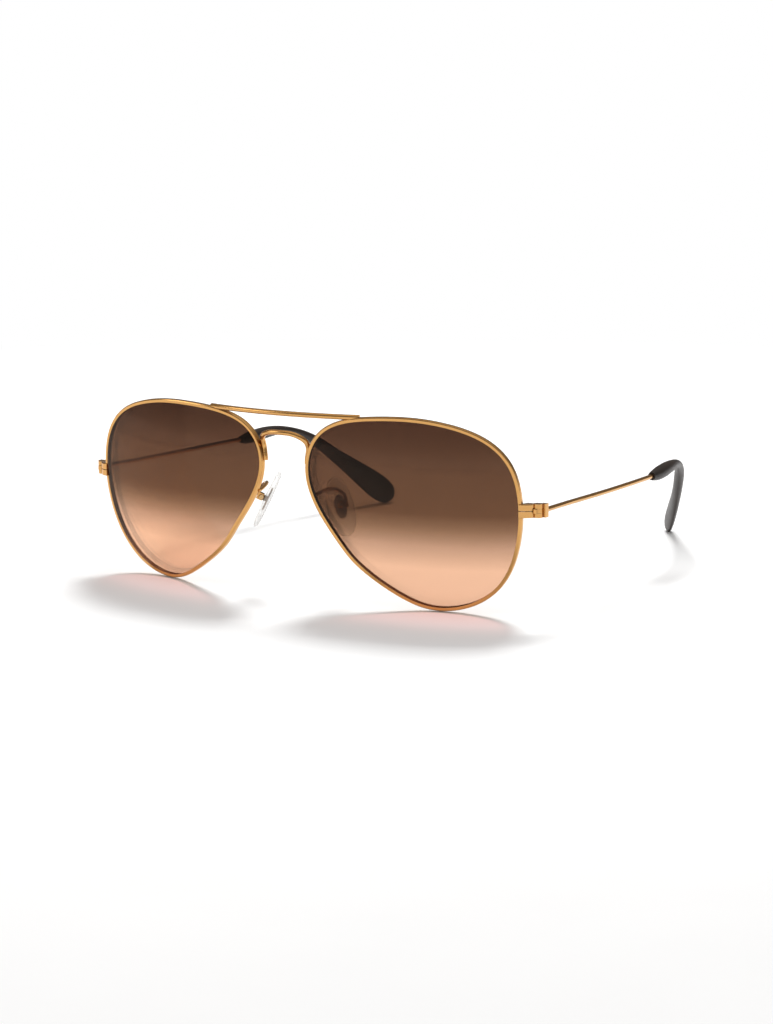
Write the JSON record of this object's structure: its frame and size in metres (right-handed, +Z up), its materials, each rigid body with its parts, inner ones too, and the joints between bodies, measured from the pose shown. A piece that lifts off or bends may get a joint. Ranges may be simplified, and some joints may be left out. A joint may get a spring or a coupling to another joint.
{
  "type": "aviator sunglasses",
  "caption": "Thin wire-frame sunglasses with drop-shaped gradient lenses, a brow bar, adjustable nose pads and folding temples with plastic tips.",
  "frame": {"origin": "on the table, under the middle of the front: X=0 is the plane of symmetry, Y=0 passes through the lens centres and Z=0 is the table that the open glasses stand on", "axes": "+X to the wearer's left, +Y from the front towards the ears, +Z up"},
  "size_m": [0.1418, 0.1397, 0.0511],
  "materials": {
    "gold_metal": "polished light bronze-gold plating",
    "gold_screws": "machined gold-tone screws",
    "gradient_lens": "brown lens, dark at the top and fading to peach at the bottom",
    "tip_plastic": "smooth near-black plastic",
    "clear_pad": "clear soft plastic",
    "pad_metal": "stamped sheet, seen through the clear pad"
  },
  "bodies": {
    "front": {"brow_bar": "gold_metal", "nose_bridge": "gold_metal", "rim_left": "gold_metal", "rim_right": "gold_metal", "lens_left": "gradient_lens", "lens_right": "gradient_lens", "closing_block_upper_left": "gold_metal", "closing_block_upper_right": "gold_metal", "closing_block_lower_left": "gold_metal", "closing_block_lower_right": "gold_metal", "rim_screw_left": "gold_screws", "rim_screw_right": "gold_screws", "hinge_front_left": "gold_metal", "hinge_front_right": "gold_metal", "hinge_screw_left": "gold_screws", "hinge_screw_right": "gold_screws", "pad_arm_left": "gold_metal", "pad_arm_right": "gold_metal", "pad_box_left": "gold_metal", "pad_box_right": "gold_metal", "pad_screw_left": "gold_screws", "pad_screw_right": "gold_screws"},
    "temple_left": {"temple_hinge_left": "gold_metal", "temple_wire_left": "gold_metal", "temple_tip_left": "tip_plastic"},
    "temple_right": {"temple_hinge_right": "gold_metal", "temple_wire_right": "gold_metal", "temple_tip_right": "tip_plastic"},
    "pad_left": {"nose_pad_left": "clear_pad", "pad_core_left": "pad_metal"},
    "pad_right": {"nose_pad_right": "clear_pad", "pad_core_right": "pad_metal"}
  },
  "joints": [
    {"name": "temple_left_fold", "type": "hinge", "parent": "front", "child": "temple_left", "pos_m": [0.0689, 0.0115, 0.02825], "axis": [0, 0, 1], "range_deg": [0, 80]},
    {"name": "temple_right_fold", "type": "hinge", "parent": "front", "child": "temple_right", "pos_m": [-0.0689, 0.0115, 0.02825], "axis": [0, 0, -1], "range_deg": [0, 72]},
    {"name": "nose_pad_left_rock", "type": "hinge", "parent": "front", "child": "pad_left", "pos_m": [0.01295, 0.00819, 0.02527], "axis": [0.515, 0.8572, 0], "range_deg": [-8, 8]},
    {"name": "nose_pad_right_rock", "type": "hinge", "parent": "front", "child": "pad_right", "pos_m": [-0.01295, 0.00819, 0.02527], "axis": [0.515, -0.8572, 0], "range_deg": [-8, 8]}
  ]
}
